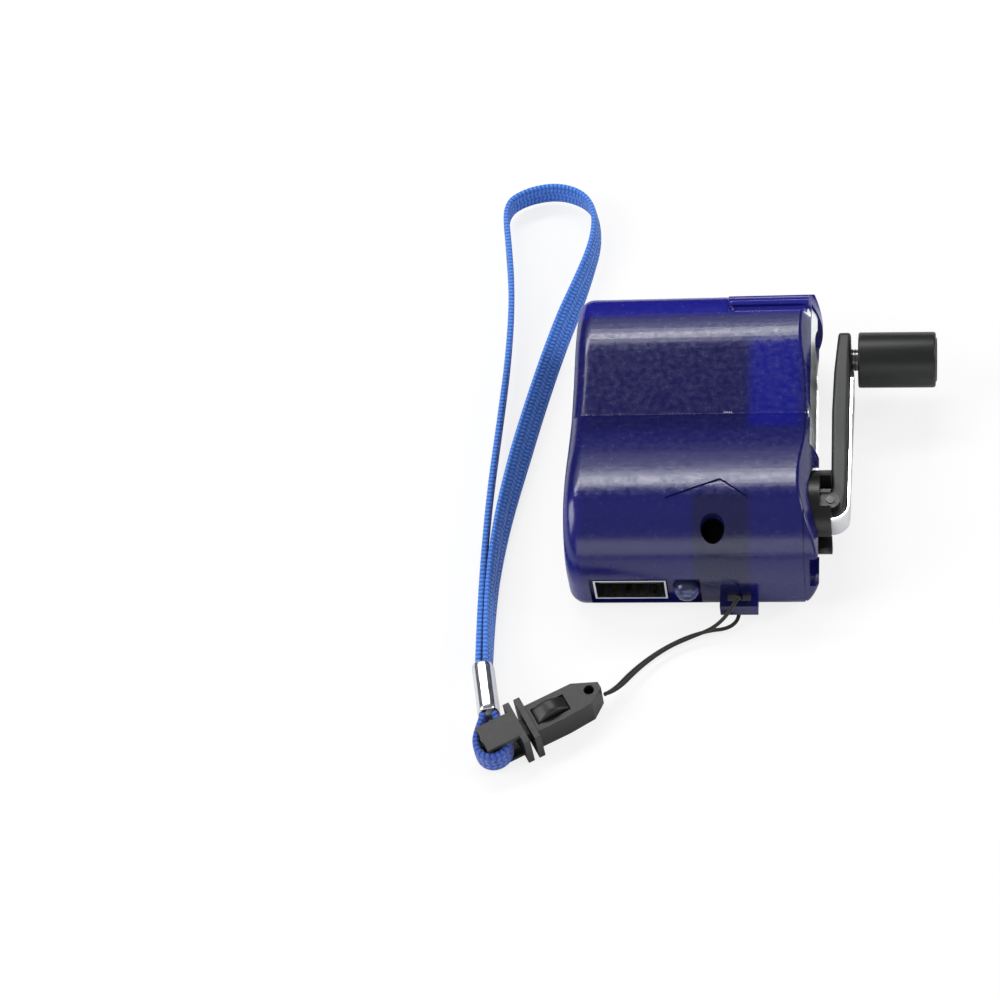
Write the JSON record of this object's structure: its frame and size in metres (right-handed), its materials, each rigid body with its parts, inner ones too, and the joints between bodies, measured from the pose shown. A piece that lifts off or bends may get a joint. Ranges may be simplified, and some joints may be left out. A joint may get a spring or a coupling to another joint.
{
  "type": "hand crank phone charger",
  "caption": "Pocket charger with a wavy two-part housing, a fold-away side crank geared to a small generator, a USB socket and a buckled wrist strap.",
  "frame": {"origin": "centre of the housing's flat back face, which lies on the table", "axes": "+X towards the crank side, +Y towards the far end away from the socket, +Z out of the wavy front"},
  "size_m": [0.0869, 0.1343, 0.022],
  "materials": {
    "blue_shell": "smoky translucent blue",
    "black_plastic": "glossy black",
    "chrome": "polished",
    "steel": "plain steel",
    "brass": "satin",
    "gear_plastic": "natural",
    "grey_plastic": "satin",
    "board_green": "lacquered",
    "copper": "enamelled wire",
    "led_lens": "clear",
    "wire_skin": "satin",
    "strap_fabric": "woven",
    "cord_fabric": "braided"
  },
  "bodies": {
    "housing": {"front_shell": "blue_shell", "back_shell": "blue_shell", "side_cap": "blue_shell", "side_plate": "chrome", "hub_bush": "brass", "gear_axles": "steel", "inner_gear_plate": "steel", "outer_gear_plate": "steel", "frame_posts": "steel", "generator_can": "steel", "generator_magnets": "grey_plastic", "generator_end_cap": "black_plastic", "generator_terminals": "brass", "circuit_board": "board_green", "usb_shell": "chrome", "usb_tongue": "grey_plastic", "usb_contacts": "brass", "indicator_led": "led_lens", "smoothing_capacitor": "black_plastic", "rectifier_diodes": "black_plastic", "regulator_chip": "black_plastic", "lead_wires": "wire_skin", "housing_screws": "steel", "wrist_strap": "strap_fabric", "strap_ferrule": "chrome", "strap_loop": "strap_fabric", "buckle_plug": "black_plastic", "buckle_socket": "black_plastic", "cord_loop": "cord_fabric"},
    "hub": {"crank_hub": "black_plastic", "hub_shaft": "steel", "shaft_screw": "steel", "hinge_pin": "steel", "drive_gear": "gear_plastic"},
    "arm": {"crank_arm": "black_plastic", "arm_cover": "chrome", "knob_axle": "steel"},
    "knob": {"crank_knob": "black_plastic", "knob_cap": "black_plastic"},
    "first_stage": {"first_gear": "gear_plastic"},
    "second_stage": {"second_gear": "gear_plastic"},
    "rotor": {"rotor_shaft": "steel", "rotor_core": "copper", "commutator": "copper", "rotor_pinion": "brass"},
    "latch": {"buckle_latch": "black_plastic"}
  },
  "joints": [
    {"name": "crank_spin", "type": "hinge", "parent": "housing", "child": "hub", "pos_m": [0.0232, -0.0152, 0.011], "axis": [1, 0, 0], "continuous": true},
    {"name": "arm_fold", "type": "hinge", "parent": "hub", "child": "arm", "pos_m": [0.0251, -0.0152, 0.011], "axis": [0, 0, -1], "range_deg": [0, 179.1]},
    {"name": "knob_spin", "type": "hinge", "parent": "arm", "child": "knob", "pos_m": [0.03564, 0.01934, 0.011], "axis": [0.9999, -0.0157, 0], "continuous": true},
    {"name": "first_gear_spin", "type": "hinge", "parent": "housing", "child": "first_stage", "pos_m": [0.014, -0.0056, 0.011], "axis": [1, 0, 0], "continuous": true},
    {"name": "second_gear_spin", "type": "hinge", "parent": "housing", "child": "second_stage", "pos_m": [0.011, 0.0022, 0.011], "axis": [1, 0, 0], "continuous": true},
    {"name": "rotor_spin", "type": "hinge", "parent": "housing", "child": "rotor", "pos_m": [0, 0.0094, 0.011], "axis": [1, 0, 0], "continuous": true},
    {"name": "latch_press", "type": "slide", "parent": "housing", "child": "latch", "axis": [0, 0, -1], "range_m": [0, 0.0004], "stiffness_N_per_m": 300}
  ],
  "couplings": [
    {"joint": "first_gear_spin", "follows": "crank_spin", "ratio": -3.8},
    {"joint": "second_gear_spin", "follows": "crank_spin", "ratio": 11.02},
    {"joint": "rotor_spin", "follows": "crank_spin", "ratio": -28.652}
  ]
}
